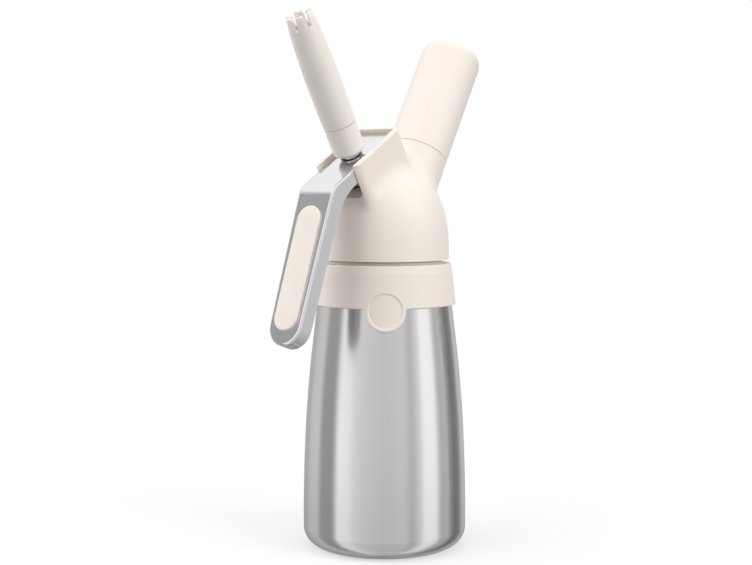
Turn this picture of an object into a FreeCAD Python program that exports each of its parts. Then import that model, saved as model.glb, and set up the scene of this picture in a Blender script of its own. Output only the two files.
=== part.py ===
"""Whipped cream dispenser: steel bottle, moulded head, squeeze lever, nozzle and gas charger holder.

Millimetres, +Z up. The origin is on the bottle's axis at the base plane. The lever and the nozzle
lean towards -X, the charger holder towards +X, and the whole is symmetric about the XZ plane,
apart from the round tab of the sleeve and the hinge pin's open end.
"""
import FreeCAD, Part
import math
import os

V = FreeCAD.Vector

# Bottle
BASE_RADIUS = 42.2
BASE_ROUNDING = 10.0
WALL = 1.2
MID_RADIUS = 41.0
MID_HEIGHT = 60.0
WAIST_RADIUS = 38.0
WAIST_HEIGHT = 98.0
SHOULDER_SLOPE = 0.8
SHOULDER_RADIUS = 33.0
SHOULDER_HEIGHT = 142.5
SHOULDER_ROUNDING = 3.0
NECK_RADIUS = 25.4
NECK_LENGTH = 17.5

# Silicone sleeve
SLEEVE_BOTTOM = 125.4
SLEEVE_WALL = 1.9
SLEEVE_LIP = 1.2
SLEEVE_LIP_RADIUS = 34.1
SLEEVE_COLLAR_RADIUS = 29.6
SLEEVE_COLLAR_BORE = 27.2
SLEEVE_COLLAR_HEIGHT = 1.7
TAB_RADIUS = 10.4
TAB_HEIGHT = 124.0
TAB_AZIMUTH = 219.0
TAB_FACE_RADIUS = 8.9
TAB_FACE_DEPTH = 0.6

# Neck thread and seal
THREAD_DEPTH = 1.6
THREAD_PLAY = 0.3
NECK_RING_START = 3.0
HEAD_RING_WALL = 2.9
HEAD_RING_INSET = 1.0
HEAD_RING_OVER = 0.5
GASKET_THICKNESS = 2.0
GASKET_WIDTH = 3.6
HEAD_GAP = 2.0

# Head
SKIRT_RADIUS = 33.2
CROWN_HEIGHT = 47.0
CROWN_POWER = 2.6
HOLDER_BLEND = 18.0
NOZZLE_BLEND = 9.0
TILT = 30.5
APEX_BELOW_NECK_RIM = 7.0
CHEEK_HALF_WIDTH = 14.2
CHEEK_ROUNDING = 4.5
CHEEK_EDGE = 0.8
CHEEK_RIM_ABOVE_PLATE = 2.1
BOSS_START = 8.0
BOSS_FRONT = 14.3
BOSS_REAR = 26.2
REAR_WALL = 2.2
RECESS_DEPTH = 15.7
RECESS_ROUNDING = 3.0
SIDE_PLAY = 0.35
CAVITY_RADIUS = 21.0
CAVITY_CROWN_RADIUS = 12.6
CAVITY_HEIGHT = 5.5

# Lever, laid out from the corner where the plate's top meets the handle's front
PLATE_HEIGHT = 52.2
PLATE_THICKNESS = 2.0
PLATE_WIDTH = 22.1
PLATE_END_PLAY = 0.8
CORNER_REACH = 30.7
HANDLE_LEAN = 19.6
HANDLE_LENGTH = 79.0
HANDLE_WIDTH = 20.0
PLATE_FLANGE = 7.2
HANDLE_FLANGE = 8.2
LEVER_WALL = 1.8
FRONT_BEND = 9.0
REAR_BEND = 28.0
LEVER_EDGE = 1.2
STEM_HOLE_PLAY = 1.2
PIN_RADIUS = 1.5
PIN_PLAY = 0.05
PIN_REACH = 19.0
PIN_BELOW_PLATE = 4.7
PIN_SEAT = 1.5

# Pad on the handle
PAD_WIDTH = 14.3
PAD_LENGTH = 62.8
PAD_START = 9.2
PAD_SINK = 0.5
PAD_RAISE = 1.6
PAD_EDGE = 0.6

# Valve
STEM_RADIUS = 4.4
STEM_BORE = 1.7
STEM_TOP = 63.6
STEM_PORT_RADIUS = 1.2
STEM_PORT_LIFT = 0.4
FOOT_CHAMFER = 1.5
COLLAR_RADIUS = 6.4
COLLAR_THICKNESS = 1.9
COLLAR_PLAY = 0.1
GUIDE_RADIUS = 7.0
GUIDE_LENGTH = 6.5
GUIDE_FLANGE_RADIUS = 8.2
GUIDE_FLANGE = 1.5
RUNNING_FIT = 0.05
SEAL_THICKNESS = 2.0
SEAL_RADIUS = 6.3
FOOT_LENGTH = 3.9
CHAMBER_RADIUS = 8.0
O_RING = 1.7
GROOVE_DEPTH = 4.1
GROOVE_PLAY = 0.3
SPRING_WIRE = 1.1
SPRING_RADIUS = 5.6
SPRING_TURNS = 4.0

# Nozzle
ADAPTER_BOTTOM = 54.4
ADAPTER_TOP = 70.3
ADAPTER_RADIUS = 8.2
ADAPTER_ROUNDING = 2.4
SPIGOT_RADIUS = 6.0
SPIGOT_LENGTH = 8.7
SPIGOT_GROOVE = 0.5
STEM_END_PLAY = 0.3
ADAPTER_TAPER = 0.1
TIP_PLAY = 0.3
TIP_LENGTH = 59.0
TIP_BELLY_RADIUS = 8.5
TIP_CROWN_RADIUS = 6.7
TIP_BORE = 6.4
TIP_MOUTH_BORE = 4.9
PRONGS = 6
SLOT_WIDTH = 2.3
SLOT_DEPTH = 10.4
PRONG_ROUNDING = 1.2
TIP_EDGE = 0.7
TIP_SEAT_LIFT = 1.2
TIP_SEAT_PLAY = 0.15

# Charger holder
HOLDER_RADIUS = 16.1
HOLDER_SEAM = 54.0
SEAM_PLAY = 0.3
HOLDER_CROWN_RADIUS = 45.0
HOLDER_ROUNDING = 6.0
COVER_WALL = 2.1
COVER_END = 3.6
LINER_END = 1.4
THREAD_END_PLAY = 2.0
HOLDER_THREAD_RADIUS = 12.0
HOLDER_THREAD_LENGTH = 10.0
HOLDER_THREAD_PLAY = 0.2
PORT_SEAT_DEPTH = 8.0
CHARGER_RADIUS = 8.9
CHARGER_LENGTH = 65.5
CHARGER_NECK_RADIUS = 4.3
CHARGER_NECK_LENGTH = 7.5
CHARGER_PLAY = 0.4
CHARGER_SHOULDER = 6.0
WELL_PLAY = 0.5
CHARGER_SINK = 4.5
NEEDLE_RADIUS = 1.0
NEEDLE_REACH = 1.3
NEEDLE_PLAY = 0.3
NEEDLE_POINT = 1.0
NEEDLE_BORE = 0.45
SEAL_CUSHION = 1.4
GAS_CHANNEL = 1.5
CHECK_RADIUS = 3.5
CHECK_LENGTH = 5.0
CHECK_BORE = 0.8

# How far cutting shapes run past the solid they cut
CUT_REACH = 60.0

# Sizes that follow from the ones above
LEDGE = SHOULDER_HEIGHT + SHOULDER_ROUNDING
SLEEVE_TOP = LEDGE + SLEEVE_LIP
NECK_TOP = LEDGE + NECK_LENGTH
HEAD_BOTTOM = SLEEVE_TOP + HEAD_GAP
THREAD_RADIUS = NECK_RADIUS + THREAD_DEPTH
HEAD_RING_BORE = THREAD_RADIUS + THREAD_PLAY
HEAD_RING_RADIUS = HEAD_RING_BORE + HEAD_RING_WALL
GASKET_TOP = NECK_TOP + GASKET_THICKNESS
APEX = NECK_TOP - APEX_BELOW_NECK_RIM
RIM = PLATE_HEIGHT + CHEEK_RIM_ABOVE_PLATE
FLOOR = PLATE_HEIGHT - RECESS_DEPTH
RECESS_HALF = PLATE_WIDTH / 2 + SIDE_PLAY
RECESS_REAR = BOSS_REAR - REAR_WALL
PLATE_REAR = RECESS_REAR - PLATE_END_PLAY
COLLAR_TOP = PLATE_HEIGHT - PLATE_THICKNESS - COLLAR_PLAY
COLLAR_BOTTOM = COLLAR_TOP - COLLAR_THICKNESS
GUIDE_BOTTOM = FLOOR - GUIDE_LENGTH
GUIDE_TOP = FLOOR + GUIDE_FLANGE
STEM_FOOT = GUIDE_BOTTOM - SEAL_THICKNESS - FOOT_LENGTH
TIP_BOTTOM = ADAPTER_TOP + TIP_PLAY
TIP_TOP = TIP_BOTTOM + TIP_LENGTH
SPIGOT_TOP = ADAPTER_TOP + SPIGOT_LENGTH
PORT_BOTTOM = HOLDER_SEAM - PORT_SEAT_DEPTH
PORT_TOP = HOLDER_SEAM + HOLDER_THREAD_LENGTH
CHARGER_BOTTOM = HOLDER_SEAM - CHARGER_SINK
CHARGER_TOP = CHARGER_BOTTOM + CHARGER_LENGTH
CHARGER_BORE = CHARGER_RADIUS + CHARGER_PLAY
NECK_BORE = CHARGER_NECK_RADIUS + CHARGER_PLAY
LINER_RADIUS = HOLDER_RADIUS - COVER_WALL
LINER_BORE = HOLDER_THREAD_RADIUS + HOLDER_THREAD_PLAY
LINER_TOP = CHARGER_TOP + LINER_END
HOLDER_TOP = LINER_TOP + COVER_END


def nozzle_side(shape):
    """Turn a shape built upright about Z onto the nozzle's axis."""
    shape.rotate(V(0, 0, 0), V(0, 1, 0), -TILT)
    shape.translate(V(0, 0, APEX))
    return shape


def holder_side(shape):
    """Turn a shape built upright about Z onto the charger holder's axis."""
    shape.rotate(V(0, 0, 0), V(0, 1, 0), TILT)
    shape.translate(V(0, 0, APEX))
    return shape


def turned(points):
    """Solid of revolution about Z from a closed outline of (radius, height) points."""
    outline = [V(r, 0, z) for r, z in points]
    outline.append(outline[0])
    face = Part.Face(Part.makePolygon(outline))
    return face.revolve(V(0, 0, 0), V(0, 0, 1), 360)


def tube(outer, inner, bottom, top):
    """Plain tube about Z."""
    return turned([(inner, bottom), (outer, bottom), (outer, top), (inner, top)])


def rod(radius, bottom, top):
    """Plain cylinder about Z."""
    return Part.makeCylinder(radius, top - bottom, V(0, 0, bottom))


def ring(mean_radius, wire_radius, height):
    """O-ring about Z."""
    return Part.makeTorus(mean_radius, wire_radius, V(0, 0, height))


def rounded(shape, radius, picks):
    """Round the edges for which picks(edge) is true."""
    edges = [edge for edge in shape.Edges if picks(edge)]
    return shape.makeFillet(radius, edges)


def is_circle_at(height, radius):
    """Picker for a circular edge about Z at a height and radius."""
    def picks(edge):
        if edge.Degenerated or not isinstance(edge.Curve, Part.Circle):
            return False
        curve = edge.Curve
        return abs(curve.Center.z - height) < 1e-4 and abs(curve.Radius - radius) < 1e-4
    return picks


def bottle_curve(inset):
    """Side of the bottle from the base rounding to the shoulder, moved inwards by inset."""
    points = [
        V(BASE_RADIUS - inset, 0, BASE_ROUNDING),
        V(MID_RADIUS - inset, 0, MID_HEIGHT),
        V(WAIST_RADIUS - inset, 0, WAIST_HEIGHT),
        V(SHOULDER_RADIUS - inset, 0, SHOULDER_HEIGHT),
    ]
    curve = Part.BSplineCurve()
    lean = (SHOULDER_RADIUS - WAIST_RADIUS) / (SHOULDER_HEIGHT - WAIST_HEIGHT)
    curve.interpolate(Points=points, InitialTangent=V(0, 0, 1), FinalTangent=V(lean * SHOULDER_SLOPE, 0, 1))
    return curve.toShape()


def quarter(centre_r, centre_z, radius, start, end):
    """Arc in the XZ plane about a centre, between two angles in degrees."""
    middle = (start + end) / 2
    points = []
    for angle in (start, middle, end):
        turn = math.radians(angle)
        points.append(V(centre_r + radius * math.cos(turn), 0, centre_z + radius * math.sin(turn)))
    return Part.Arc(*points).toShape()


def line(r0, z0, r1, z1):
    """Straight edge in the XZ plane."""
    return Part.makeLine(V(r0, 0, z0), V(r1, 0, z1))


def bottle_profile(inset):
    """Edges of the bottle's skin from the axis of the base up to the neck's rim."""
    base = BASE_RADIUS - BASE_ROUNDING
    shoulder = SHOULDER_RADIUS - SHOULDER_ROUNDING
    neck = NECK_RADIUS - inset
    ledge = LEDGE - inset
    return [
        line(0, inset, base, inset),
        quarter(base, BASE_ROUNDING, BASE_ROUNDING - inset, -90, 0),
        bottle_curve(inset),
        quarter(shoulder, SHOULDER_HEIGHT, SHOULDER_ROUNDING - inset, 0, 90),
        line(shoulder, ledge, neck, ledge),
        line(neck, ledge, neck, NECK_TOP),
    ]


def bottle_shell():
    """Drawn steel bottle: an outer and an inner skin closed at the neck's rim."""
    outer = bottle_profile(0.0)
    inner = bottle_profile(WALL)
    rim = line(NECK_RADIUS, NECK_TOP, NECK_RADIUS - WALL, NECK_TOP)
    axis = line(0, 0, 0, WALL)
    wire = Part.Wire(Part.__sortEdges__(outer + inner + [rim, axis]))
    return Part.Face(wire).revolve(V(0, 0, 0), V(0, 0, 1), 360)


def neck_ring():
    """Thread ring brazed on the neck, with a grip shoulder at the bottom."""
    return tube(THREAD_RADIUS, NECK_RADIUS, LEDGE + NECK_RING_START, NECK_TOP)


def sleeve_skin(thickness, bottom, top):
    """Ring of the sleeve that follows the bottle's side between two heights."""
    side = bottle_curve(0.0)
    face = Part.Face(Part.Wire([
        side,
        line(SHOULDER_RADIUS, SHOULDER_HEIGHT, SHOULDER_RADIUS, LEDGE + 5),
        line(SHOULDER_RADIUS, LEDGE + 5, 0, LEDGE + 5),
        line(0, LEDGE + 5, 0, BASE_ROUNDING),
        line(0, BASE_ROUNDING, BASE_RADIUS, BASE_ROUNDING),
    ]))
    core = face.revolve(V(0, 0, 0), V(0, 0, 1), 360)
    outer_side = bottle_curve(-thickness)
    outer = Part.Face(Part.Wire([
        outer_side,
        line(SHOULDER_RADIUS + thickness, SHOULDER_HEIGHT, SHOULDER_RADIUS + thickness, LEDGE + 5),
        line(SHOULDER_RADIUS + thickness, LEDGE + 5, 0, LEDGE + 5),
        line(0, LEDGE + 5, 0, BASE_ROUNDING),
        line(0, BASE_ROUNDING, BASE_RADIUS + thickness, BASE_ROUNDING),
    ])).revolve(V(0, 0, 0), V(0, 0, 1), 360)
    slab = Part.makeCylinder(BASE_RADIUS * 2, top - bottom, V(0, 0, bottom))
    return outer.common(slab).cut(core)


def tab_axis():
    """Direction in which the round tab faces."""
    turn = math.radians(TAB_AZIMUTH)
    return V(math.cos(turn), math.sin(turn), 0)


def silicone_band():
    """Sleeve around the shoulder: lip and collar on top, the round tab over its lower edge."""
    band = sleeve_skin(SLEEVE_WALL, SLEEVE_BOTTOM, SHOULDER_HEIGHT)
    top_radius = SHOULDER_RADIUS + SLEEVE_WALL
    shoulder = SHOULDER_RADIUS - SHOULDER_ROUNDING
    collar_top = SLEEVE_TOP + SLEEVE_COLLAR_HEIGHT
    lip = Part.Face(Part.Wire([
        line(SHOULDER_RADIUS, SHOULDER_HEIGHT, top_radius, SHOULDER_HEIGHT),
        line(top_radius, SHOULDER_HEIGHT, SLEEVE_LIP_RADIUS, SLEEVE_TOP),
        line(SLEEVE_LIP_RADIUS, SLEEVE_TOP, SLEEVE_COLLAR_RADIUS, SLEEVE_TOP),
        line(SLEEVE_COLLAR_RADIUS, SLEEVE_TOP, SLEEVE_COLLAR_RADIUS, collar_top),
        line(SLEEVE_COLLAR_RADIUS, collar_top, SLEEVE_COLLAR_BORE, collar_top),
        line(SLEEVE_COLLAR_BORE, collar_top, SLEEVE_COLLAR_BORE, LEDGE),
        line(SLEEVE_COLLAR_BORE, LEDGE, shoulder, LEDGE),
        quarter(shoulder, SHOULDER_HEIGHT, SHOULDER_ROUNDING, 90, 0),
    ])).revolve(V(0, 0, 0), V(0, 0, 1), 360)
    facing = tab_axis()
    disc = Part.makeCylinder(TAB_RADIUS, BASE_RADIUS * 2, V(0, 0, TAB_HEIGHT), facing)
    tab = sleeve_skin(SLEEVE_WALL, TAB_HEIGHT - 2 * TAB_RADIUS, SHOULDER_HEIGHT).common(disc)
    face_cut = Part.makeCylinder(TAB_FACE_RADIUS, BASE_RADIUS * 2, V(0, 0, TAB_HEIGHT), facing)
    skin = sleeve_skin(SLEEVE_WALL, TAB_HEIGHT - 2 * TAB_RADIUS, SHOULDER_HEIGHT)
    under = sleeve_skin(SLEEVE_WALL - TAB_FACE_DEPTH, TAB_HEIGHT - 2 * TAB_RADIUS, SHOULDER_HEIGHT)
    recess = skin.common(face_cut).cut(under)
    return band.fuse([lip, tab]).cut(recess).removeSplitter()


def head_gasket():
    """Flat ring between the neck's rim and the ceiling of the head."""
    return tube(THREAD_RADIUS, THREAD_RADIUS - GASKET_WIDTH, NECK_TOP, GASKET_TOP)


def head_thread_ring():
    """Threaded ring pressed into the skirt."""
    return tube(HEAD_RING_RADIUS, HEAD_RING_BORE, HEAD_BOTTOM + HEAD_RING_INSET, NECK_TOP + HEAD_RING_OVER)


def head_dome():
    """Skirt and shoulder turned in one, a superellipse from the lower rim to the crown."""
    points = []
    steps = 12
    for step in range(steps + 1):
        turn = math.pi / 2 * step / steps
        across = SKIRT_RADIUS * max(0.0, math.cos(turn)) ** (2 / CROWN_POWER)
        rise = CROWN_HEIGHT * math.sin(turn) ** (2 / CROWN_POWER)
        points.append(V(across, 0, HEAD_BOTTOM + rise))
    side = Part.BSplineCurve()
    side.interpolate(Points=points, InitialTangent=V(0, 0, 1), FinalTangent=V(-1, 0, 0))
    crown = HEAD_BOTTOM + CROWN_HEIGHT
    face = Part.Face(Part.Wire([
        side.toShape(),
        line(0, crown, 0, HEAD_BOTTOM),
        line(0, HEAD_BOTTOM, SKIRT_RADIUS, HEAD_BOTTOM),
    ]))
    return face.revolve(V(0, 0, 0), V(0, 0, 1), 360)


def nozzle_boss():
    """Box-like boss around the stem, whose long sides are the cheeks."""
    length = BOSS_FRONT + BOSS_REAR
    corner = V(-BOSS_FRONT, -CHEEK_HALF_WIDTH, BOSS_START)
    block = Part.makeBox(length, 2 * CHEEK_HALF_WIDTH, RIM - BOSS_START, corner)
    block = rounded(block, CHEEK_ROUNDING, lambda edge: abs(edge.tangentAt(edge.FirstParameter).z) > 0.9)
    block = rounded(block, CHEEK_EDGE, lambda edge: edge.BoundBox.ZMin > RIM - 1e-3)
    return nozzle_side(block)


def holder_boss():
    """Round boss under the charger holder."""
    return holder_side(rod(HOLDER_RADIUS, BOSS_START, HOLDER_SEAM))


def blended(first, second, radius):
    """Two solids joined in one, with the corner where they run into each other rounded."""
    skins = [first.Shells[0], second.Shells[0]]

    def on_both(edge):
        if edge.Degenerated:
            return False
        middle = Part.Vertex(edge.valueAt((edge.FirstParameter + edge.LastParameter) / 2))
        return all(skin.distToShape(middle)[0] < 1e-3 for skin in skins)

    return rounded(first.fuse([second]).removeSplitter(), radius, on_both)


def head_body():
    """Dome and bosses joined in one, with the inner corners rounded."""
    return blended(blended(head_dome(), holder_boss(), HOLDER_BLEND), nozzle_boss(), NOZZLE_BLEND)


def recess_cutter():
    """Slot between the cheeks, open to the front, with a rounded floor."""
    corner = V(-CUT_REACH, -RECESS_HALF, FLOOR)
    block = Part.makeBox(CUT_REACH + RECESS_REAR, 2 * RECESS_HALF, CUT_REACH, corner)
    block = rounded(block, RECESS_ROUNDING, lambda edge: abs(edge.CenterOfMass.z - FLOOR) < 1e-4
                    and abs(edge.tangentAt(edge.FirstParameter).x) > 0.9)
    return nozzle_side(block)


def head_bores():
    """Everything hollow inside the head apart from the lever's recess."""
    low = HEAD_BOTTOM - 1.0
    ceiling = GASKET_TOP
    ring_room = rod(HEAD_RING_RADIUS, low, NECK_TOP + HEAD_RING_OVER)
    gasket_room = rod(THREAD_RADIUS + THREAD_PLAY, low, ceiling)
    crown = ceiling + CAVITY_HEIGHT
    cavity = turned([(0, low), (CAVITY_RADIUS, low), (CAVITY_RADIUS, ceiling), (CAVITY_CROWN_RADIUS, crown),
                     (0, crown)])
    chamber = nozzle_side(rod(CHAMBER_RADIUS, BOSS_START, GUIDE_BOTTOM))
    guide_bore = nozzle_side(rod(GUIDE_RADIUS, GUIDE_BOTTOM - 1.0, FLOOR + 1.0))
    port_bore = holder_side(rod(HOLDER_THREAD_RADIUS, PORT_BOTTOM, HOLDER_SEAM + 1.0))
    check_bore = holder_side(rod(CHECK_RADIUS, PORT_BOTTOM - CHECK_LENGTH, PORT_BOTTOM + 1.0))
    channel = holder_side(rod(GAS_CHANNEL, BOSS_START, PORT_BOTTOM))
    return [ring_room, gasket_room, cavity, chamber, guide_bore, port_bore, check_bore, channel]


def pin_shape(radius, start, end):
    """Cylinder along Y at the lever's hinge."""
    place = V(PIN_REACH, 0, PLATE_HEIGHT - PIN_BELOW_PLATE)
    pin = Part.makeCylinder(radius, end - start, V(place.x, start, place.z), V(0, 1, 0))
    return nozzle_side(pin)


def head_housing():
    """Moulded head: skirt, shoulder, nozzle boss with the lever's recess, and holder boss."""
    pin_bore = pin_shape(PIN_RADIUS, -RECESS_HALF - PIN_SEAT, CHEEK_HALF_WIDTH + 1.0)
    return head_body().cut([recess_cutter(), pin_bore] + head_bores())


def lever_pin():
    """Hinge pin through the far cheek and the lever's flanges into the near cheek."""
    return pin_shape(PIN_RADIUS, -RECESS_HALF - PIN_SEAT, CHEEK_HALF_WIDTH)


def plate_point(reach, height):
    """World point (X, Z) from a place along the plate and a height on the nozzle's axis."""
    tilt = math.radians(TILT)
    return (reach * math.cos(tilt) - height * math.sin(tilt),
            APEX + reach * math.sin(tilt) + height * math.cos(tilt))


def handle_point(run, depth):
    """World point (X, Z) from a run down the handle's front and a depth behind it."""
    corner = plate_point(-CORNER_REACH, PLATE_HEIGHT)
    lean = math.radians(HANDLE_LEAN)
    return (corner[0] - run * math.sin(lean) + depth * math.cos(lean),
            corner[1] - run * math.cos(lean) - depth * math.sin(lean))


def meeting(plate_depth, handle_depth):
    """World point where a line below the plate's top meets a line behind the handle's front."""
    tilt = math.radians(TILT)
    lean = math.radians(HANDLE_LEAN)
    start = plate_point(0, PLATE_HEIGHT - plate_depth)
    other = handle_point(0, handle_depth)
    along = (-math.cos(tilt), -math.sin(tilt))
    down = (-math.sin(lean), -math.cos(lean))
    cross = along[0] * down[1] - along[1] * down[0]
    gap = (other[0] - start[0], other[1] - start[1])
    run = (gap[0] * down[1] - gap[1] * down[0]) / cross
    return (start[0] + run * along[0], start[1] + run * along[1])


def bent_path(plate_depth, handle_depth, bend, rear_play):
    """Two straight edges and the arc between them, from the plate's rear past the handle's end."""
    corner = meeting(plate_depth, handle_depth)
    turn = math.radians(90 - TILT - HANDLE_LEAN)
    tangent = bend * math.tan(turn / 2)
    tilt = math.radians(TILT)
    lean = math.radians(HANDLE_LEAN)
    first = plate_point(PLATE_REAR - rear_play, PLATE_HEIGHT - plate_depth)
    last = handle_point(HANDLE_LENGTH + 10.0, handle_depth)
    into = (corner[0] + tangent * math.cos(tilt), corner[1] + tangent * math.sin(tilt))
    out = (corner[0] - tangent * math.sin(lean), corner[1] - tangent * math.cos(lean))
    middle_x = (into[0] + out[0]) / 2
    middle_z = (into[1] + out[1]) / 2
    chord = math.hypot(out[0] - into[0], out[1] - into[1])
    sagitta = chord / 2 * math.tan(turn / 4)
    to_corner = math.hypot(corner[0] - middle_x, corner[1] - middle_z)
    top = (middle_x + (corner[0] - middle_x) * sagitta / to_corner,
           middle_z + (corner[1] - middle_z) * sagitta / to_corner)
    arc = Part.Arc(V(into[0], 0, into[1]), V(top[0], 0, top[1]), V(out[0], 0, out[1])).toShape()
    return [line(first[0], first[1], into[0], into[1]), arc, line(out[0], out[1], last[0], last[1])]


def handle_side(shape):
    """Lay a shape on the handle: its X runs across, its Y down the handle and its Z out of it."""
    lean = math.radians(HANDLE_LEAN)
    corner = handle_point(0, 0)
    down = V(-math.sin(lean), 0, -math.cos(lean))
    out = V(-math.cos(lean), 0, math.sin(lean))
    across = down.cross(out)
    shape.transformShape(FreeCAD.Matrix(across.x, down.x, out.x, corner[0],
                                        across.y, down.y, out.y, 0,
                                        across.z, down.z, out.z, corner[1],
                                        0, 0, 0, 1))
    return shape


def round_ended(top, top_half, middle, bottom, half):
    """Face whose sides run straight from top, then taper from middle, with a round end at bottom."""
    centre = bottom - half
    edges = [
        Part.makeLine(V(-top_half, top, 0), V(top_half, top, 0)),
        Part.makeLine(V(top_half, top, 0), V(top_half, middle, 0)),
        Part.makeLine(V(top_half, middle, 0), V(half, centre, 0)),
        Part.Arc(V(half, centre, 0), V(0, bottom, 0), V(-half, centre, 0)).toShape(),
        Part.makeLine(V(-half, centre, 0), V(-top_half, middle, 0)),
        Part.makeLine(V(-top_half, middle, 0), V(-top_half, top, 0)),
    ]
    return Part.Face(Part.Wire(edges))


def lever_outline(inset):
    """Prism square to the handle with the lever's outline: a taper with a round end."""
    top_half = PLATE_WIDTH / 2 - inset
    face = round_ended(-CUT_REACH, top_half, 0.0, HANDLE_LENGTH - inset, HANDLE_WIDTH / 2 - inset)
    face.translate(V(0, 0, -CUT_REACH))
    return handle_side(face.extrude(V(0, 0, 2 * CUT_REACH)))


def lever_sheet(plate_start, plate_depth, handle_start, handle_depth, front, rear, inset):
    """Slab between two bent paths, wider than the lever and running past its round end."""
    outer = bent_path(plate_start, handle_start, front, inset)
    inner = bent_path(plate_depth, handle_depth, rear, inset)
    tail = Part.makeLine(outer[0].Vertexes[0].Point, inner[0].Vertexes[0].Point)
    tip = Part.makeLine(outer[-1].Vertexes[-1].Point, inner[-1].Vertexes[-1].Point)
    face = Part.Face(Part.Wire(Part.__sortEdges__(outer + inner + [tail, tip])))
    face.translate(V(0, -PLATE_WIDTH, 0))
    return face.extrude(V(0, 2 * PLATE_WIDTH, 0))


def on_lever_front(edge):
    """True for an edge on the lever's outer surface, plate, bend or handle, but not across it."""
    point = edge.valueAt((edge.FirstParameter + edge.LastParameter) / 2)
    if abs(point.y) < 0.1 and edge.Length > PLATE_WIDTH * 0.9:
        return False
    wire = Part.Wire(bent_path(0, 0, FRONT_BEND, 0))
    foot = Part.Vertex(V(point.x, 0, point.z))
    return wire.distToShape(foot)[0] < 1e-3


def lever():
    """Pressed lever: a bent pan, open at the back, with the stem's hole and the hinge holes."""
    pan = lever_sheet(0, PLATE_FLANGE, 0, HANDLE_FLANGE, FRONT_BEND, REAR_BEND, 0)
    pan = pan.common(lever_outline(0))
    pan = rounded(pan, LEVER_EDGE, on_lever_front)
    deep = 20.0
    hollow = lever_sheet(PLATE_THICKNESS, deep, LEVER_WALL, deep, FRONT_BEND - LEVER_WALL, REAR_BEND,
                         LEVER_WALL)
    hollow = hollow.common(lever_outline(LEVER_WALL))
    hole_radius = STEM_RADIUS + STEM_HOLE_PLAY
    hole = nozzle_side(rod(hole_radius, PLATE_HEIGHT - 5.0, PLATE_HEIGHT + 5.0))
    hinge = pin_shape(PIN_RADIUS + PIN_PLAY, -PLATE_WIDTH, PLATE_WIDTH)
    pad_seat = handle_side(pad_prism(-PAD_SINK, PAD_SINK + PAD_RAISE))
    return pan.cut([hollow, hole, hinge, pad_seat])


def pad_prism(start, height):
    """Stadium laid out flat, as on the handle's front, from a height start above it."""
    half = PAD_WIDTH / 2
    top = PAD_START + half
    bottom = PAD_START + PAD_LENGTH - half
    edges = [
        Part.makeLine(V(half, top, 0), V(half, bottom, 0)),
        Part.Arc(V(half, bottom, 0), V(0, bottom + half, 0), V(-half, bottom, 0)).toShape(),
        Part.makeLine(V(-half, bottom, 0), V(-half, top, 0)),
        Part.Arc(V(-half, top, 0), V(0, top - half, 0), V(half, top, 0)).toShape(),
    ]
    face = Part.Face(Part.Wire(edges))
    face.translate(V(0, 0, start))
    return face.extrude(V(0, 0, height))


def lever_pad():
    """Soft pad seated in the handle's front, with a rounded rim."""
    pad = pad_prism(-PAD_SINK, PAD_SINK + PAD_RAISE)
    pad = rounded(pad, PAD_EDGE, lambda edge: edge.BoundBox.ZMin > PAD_RAISE - 1e-3)
    return handle_side(pad)


def valve_guide():
    """Flanged bush in the recess's floor, with a groove for its O-ring."""
    bore = STEM_RADIUS + RUNNING_FIT
    groove_low = GUIDE_TOP - GROOVE_DEPTH
    groove_high = groove_low + O_RING + GROOVE_PLAY
    groove = bore + O_RING
    return nozzle_side(turned([
        (bore, GUIDE_BOTTOM), (GUIDE_RADIUS, GUIDE_BOTTOM), (GUIDE_RADIUS, FLOOR),
        (GUIDE_FLANGE_RADIUS, FLOOR), (GUIDE_FLANGE_RADIUS, GUIDE_TOP), (bore, GUIDE_TOP),
        (bore, groove_high), (groove, groove_high), (groove, groove_low), (bore, groove_low),
    ]))


def stem_o_ring():
    """O-ring in the guide's groove."""
    height = GUIDE_TOP - GROOVE_DEPTH + (O_RING + GROOVE_PLAY) / 2
    return nozzle_side(ring(STEM_RADIUS + RUNNING_FIT + O_RING / 2, O_RING / 2, height))


def valve_stem():
    """Hollow stem with its foot, the collar under the lever's plate, and side ports."""
    seat = GUIDE_BOTTOM - SEAL_THICKNESS
    body = turned([
        (0, STEM_FOOT), (STEM_RADIUS, STEM_FOOT), (SEAL_RADIUS, STEM_FOOT + FOOT_CHAMFER),
        (SEAL_RADIUS, seat), (STEM_RADIUS, seat), (STEM_RADIUS, COLLAR_BOTTOM),
        (COLLAR_RADIUS, COLLAR_BOTTOM), (COLLAR_RADIUS, COLLAR_TOP), (STEM_RADIUS, COLLAR_TOP),
        (STEM_RADIUS, STEM_TOP), (0, STEM_TOP),
    ])
    port_height = GUIDE_BOTTOM + STEM_PORT_RADIUS + STEM_PORT_LIFT
    bore = rod(STEM_BORE, port_height, STEM_TOP + 1.0)
    ports = []
    for direction in (V(1, 0, 0), V(0, 1, 0)):
        start = V(0, 0, port_height) - direction * SEAL_RADIUS
        ports.append(Part.makeCylinder(STEM_PORT_RADIUS, 2 * SEAL_RADIUS, start, direction))
    return nozzle_side(body.cut([bore] + ports))


def valve_seal():
    """Rubber ring on the foot, closing against the guide's lower face."""
    return nozzle_side(tube(SEAL_RADIUS, STEM_RADIUS, GUIDE_BOTTOM - SEAL_THICKNESS, GUIDE_BOTTOM))


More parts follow.
